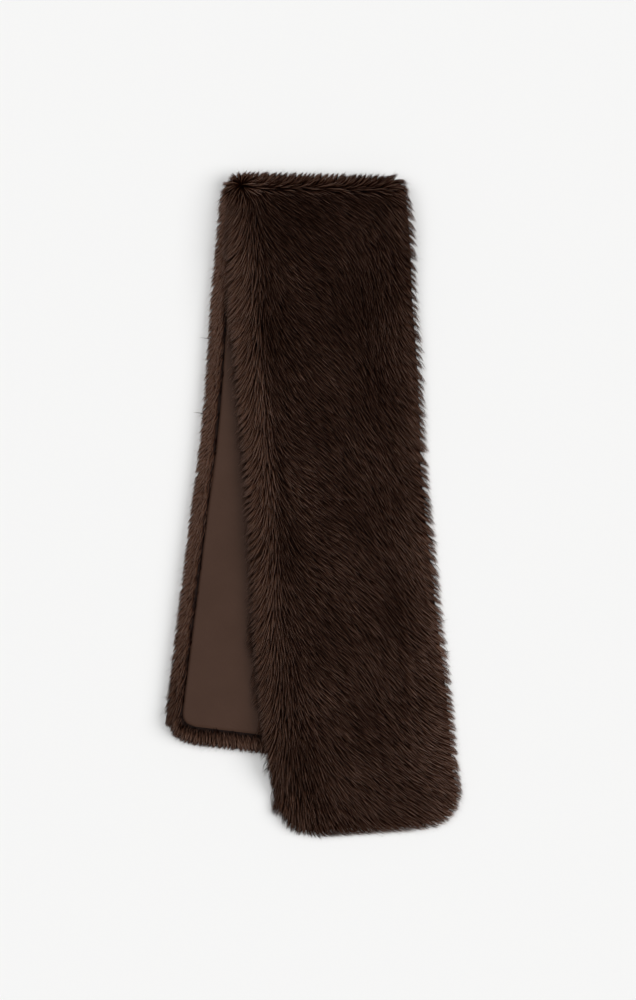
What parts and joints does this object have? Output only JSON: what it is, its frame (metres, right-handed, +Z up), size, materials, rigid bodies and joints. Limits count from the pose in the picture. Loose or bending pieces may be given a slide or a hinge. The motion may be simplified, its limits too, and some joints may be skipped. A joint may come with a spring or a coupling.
{
  "type": "fur collar wrap",
  "caption": "Straight faux fur scarf with a satin lining, folded across its length and laid flat, its legs splayed at a slant.",
  "frame": {"origin": "middle of the folded scarf's outline, on the surface it lies on", "axes": "+X across the scarf to the right seen from above with the fold at the far end, +Y from the hems to the fold, +Z up out of the fur of the upper leg"},
  "size_m": [0.2918, 0.6628, 0.0342],
  "materials": {
    "fur": "soft pile with a low sheen",
    "lining": "satin"
  },
  "bodies": {
    "root": {"fur_front": "fur", "fur_fold": "fur", "fur_back": "fur", "lining_front": "lining", "lining_fold": "lining", "lining_back": "lining"}
  },
  "joints": []
}
